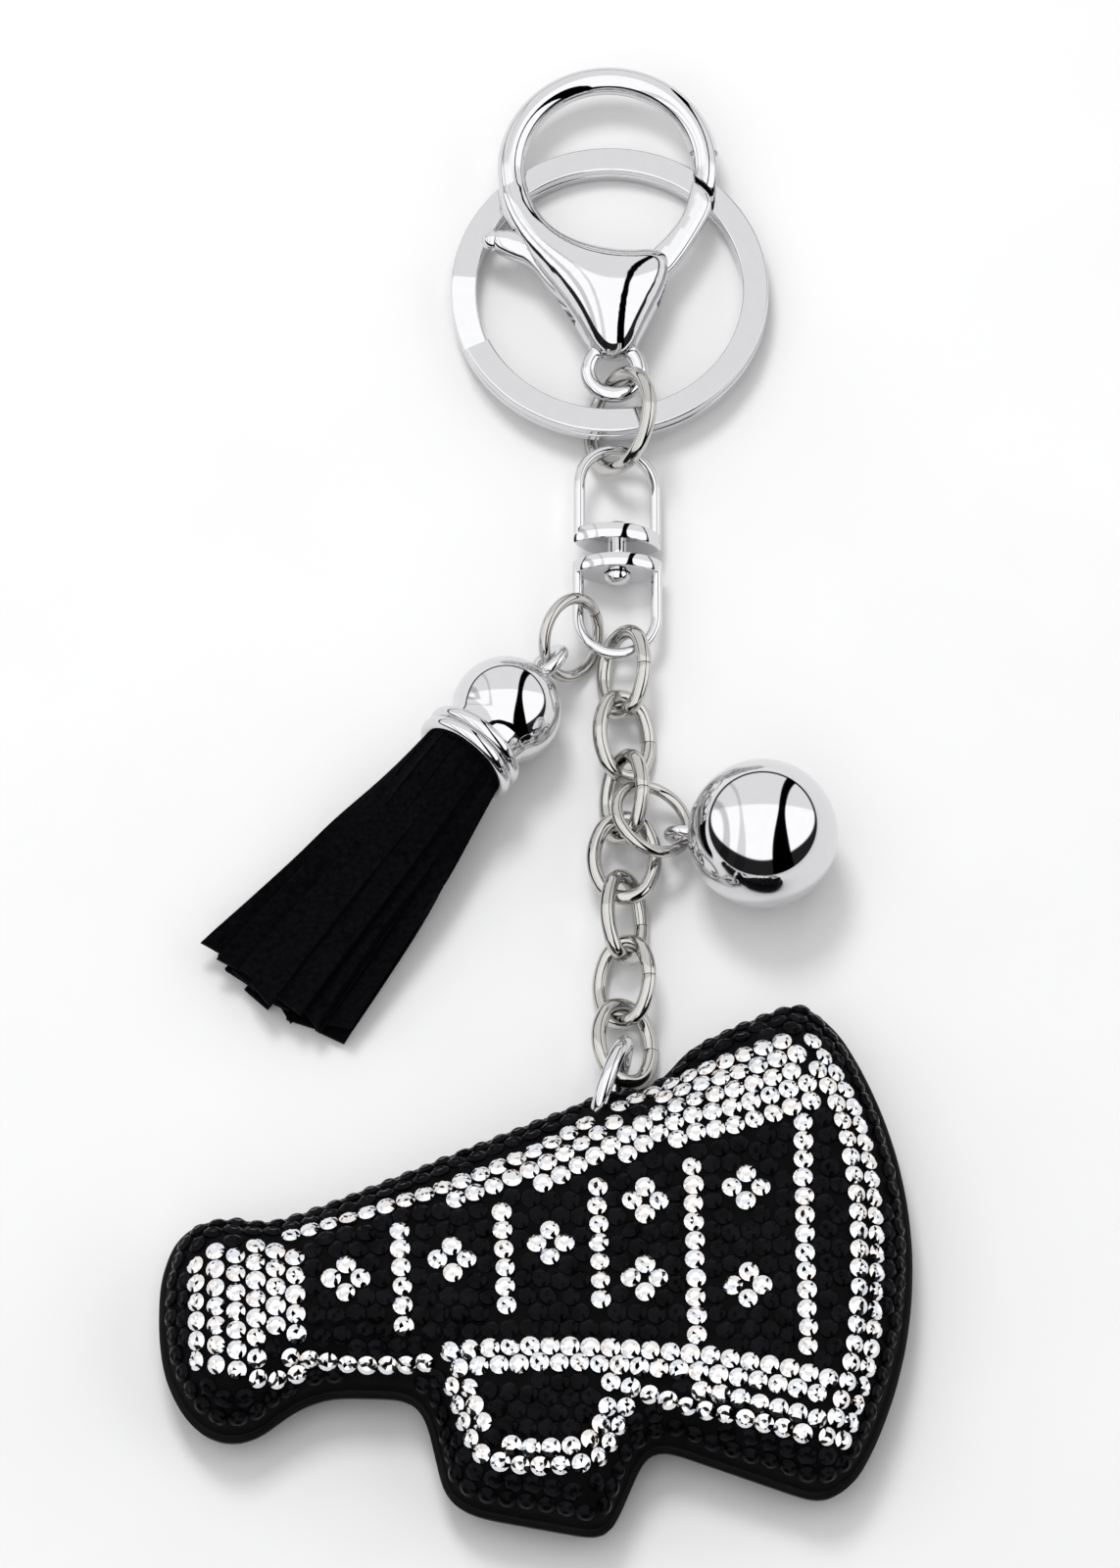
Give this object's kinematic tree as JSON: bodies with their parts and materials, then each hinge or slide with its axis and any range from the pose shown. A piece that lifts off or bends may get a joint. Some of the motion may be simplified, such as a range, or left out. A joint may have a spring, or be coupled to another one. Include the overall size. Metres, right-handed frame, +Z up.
{
  "type": "bag charm",
  "caption": "Padded, stone-covered megaphone bag charm on an oval-link chain with a swivel, trigger clasp, split ring, cut-strip tassel and hollow ball.",
  "frame": {"origin": "centre of the footprint, on the table that the charm lies on", "axes": "+Y along the chain towards the clasp, +Z up from the table, +X towards the megaphone's bell"},
  "size_m": [0.0748, 0.1581, 0.015],
  "materials": {
    "chrome": "polished",
    "spring_steel": "satin",
    "front_cloth": "matte",
    "back_leather": "satin",
    "filling": "matte",
    "tassel_suede": "matte",
    "black_stone": "polished",
    "clear_stone": "polished"
  },
  "bodies": {
    "pad": {"pad_front_cover": "front_cloth", "pad_back_cover": "back_leather", "pad_filling": "filling"},
    "pad_ring": {"charm_ring": "chrome"},
    "link_7": {"chain_link_7": "chrome"},
    "link_6": {"chain_link_6": "chrome"},
    "link_5": {"chain_link_5": "chrome"},
    "link_4": {"chain_link_4": "chrome"},
    "link_3": {"chain_link_3": "chrome"},
    "link_2": {"chain_link_2": "chrome"},
    "link_1": {"chain_link_1": "chrome"},
    "lower_bail": {"swivel_lower_bail": "chrome"},
    "upper_bail": {"swivel_upper_bail": "chrome", "swivel_rivet": "chrome", "swivel_collar": "chrome"},
    "connector": {"connector_ring": "chrome"},
    "clasp": {"clasp_hook": "chrome", "clasp_pin": "chrome", "clasp_spring": "spring_steel"},
    "gate": {"clasp_gate": "chrome"},
    "split_ring": {"key_ring": "chrome"},
    "tassel_link": {"tassel_ring": "chrome"},
    "tassel": {"tassel_cap": "chrome", "tassel_plug": "tassel_suede", "tassel_skirt": "tassel_suede"},
    "ball_link": {"ball_ring": "chrome"},
    "ball": {"ball_shell": "chrome", "ball_eye": "chrome"}
  },
  "joints": [
    {"name": "pad_ring_turn", "type": "hinge", "parent": "pad", "child": "pad_ring", "pos_m": [0.00735, -0.0323, 0.0056], "axis": [0.9438, -0.3305, 0], "range_deg": [0, 40]},
    {"name": "link_7_swing", "type": "hinge", "parent": "pad_ring", "child": "link_7", "pos_m": [0.0089, -0.02786, 0.0046], "axis": [0, 0, 1], "range_deg": [-12, 12]},
    {"name": "link_6_swing", "type": "hinge", "parent": "link_7", "child": "link_6", "pos_m": [0.0088, -0.02307, 0.00265], "axis": [0, 0, -1], "range_deg": [-10, 10]},
    {"name": "link_5_swing", "type": "hinge", "parent": "link_6", "child": "link_5", "pos_m": [0.0088, -0.01642, 0.00294], "axis": [0, 0, 1], "range_deg": [-10, 10]},
    {"name": "link_4_swing", "type": "hinge", "parent": "link_5", "child": "link_4", "pos_m": [0.0088, -0.00987, 0.00323], "axis": [0, 0, -1], "range_deg": [-10, 10]},
    {"name": "link_3_swing", "type": "hinge", "parent": "link_4", "child": "link_3", "pos_m": [0.0088, -0.00336, 0.0032], "axis": [0, 0, 1], "range_deg": [-10, 10]},
    {"name": "link_2_swing", "type": "hinge", "parent": "link_3", "child": "link_2", "pos_m": [0.0088, 0.00327, 0.00293], "axis": [0, 0, -1], "range_deg": [-10, 10]},
    {"name": "link_1_swing", "type": "hinge", "parent": "link_2", "child": "link_1", "pos_m": [0.0088, 0.01001, 0.00284], "axis": [0, 0, 1], "range_deg": [-10, 10]},
    {"name": "bail_swing", "type": "hinge", "parent": "link_1", "child": "lower_bail", "pos_m": [0.0088, 0.0165, 0.0032], "axis": [0, 0, -1], "range_deg": [-9, 9]},
    {"name": "swivel_spin", "type": "hinge", "parent": "lower_bail", "child": "upper_bail", "pos_m": [0.00813, 0.0249, 0.0033], "axis": [0, 1, 0], "continuous": true},
    {"name": "connector_swing", "type": "hinge", "parent": "upper_bail", "child": "connector", "pos_m": [0.0083, 0.0362, 0.004], "axis": [1, 0, 0], "range_deg": [0, 16]},
    {"name": "clasp_swing", "type": "hinge", "parent": "connector", "child": "clasp", "pos_m": [0.0082, 0.0439, 0.0045], "axis": [1, 0, 0], "range_deg": [0, 24]},
    {"name": "gate_swing", "type": "hinge", "parent": "clasp", "child": "gate", "pos_m": [0.0087, 0.05525, 0.00425], "axis": [0, 0, 1], "range_deg": [0, 24], "stiffness_Nm_per_rad": 0.002, "springref_deg": -17.19},
    {"name": "key_ring_turn", "type": "hinge", "parent": "connector", "child": "split_ring", "pos_m": [0.0074, 0.05496, 0.00218], "axis": [0, 0.0645, 0.9979], "continuous": true},
    {"name": "tassel_ring_swing", "type": "hinge", "parent": "lower_bail", "child": "tassel_link", "pos_m": [0.0056, 0.0166, 0.0034], "axis": [0, 0, 1], "range_deg": [-5, 3]},
    {"name": "tassel_swing", "type": "hinge", "parent": "tassel_link", "child": "tassel", "pos_m": [0.001, 0.014, 0.0046], "axis": [0, 0, 1], "range_deg": [-12, 12]},
    {"name": "ball_ring_swing", "type": "hinge", "parent": "link_3", "child": "ball_link", "pos_m": [0.0102, -0.0014, 0.0052], "axis": [0, 0, 1], "range_deg": [-3, 8]},
    {"name": "ball_swing", "type": "hinge", "parent": "ball_link", "child": "ball", "pos_m": [0.0146, -0.0052, 0.0031], "axis": [0, 0, 1], "range_deg": [-3, 10]}
  ]
}
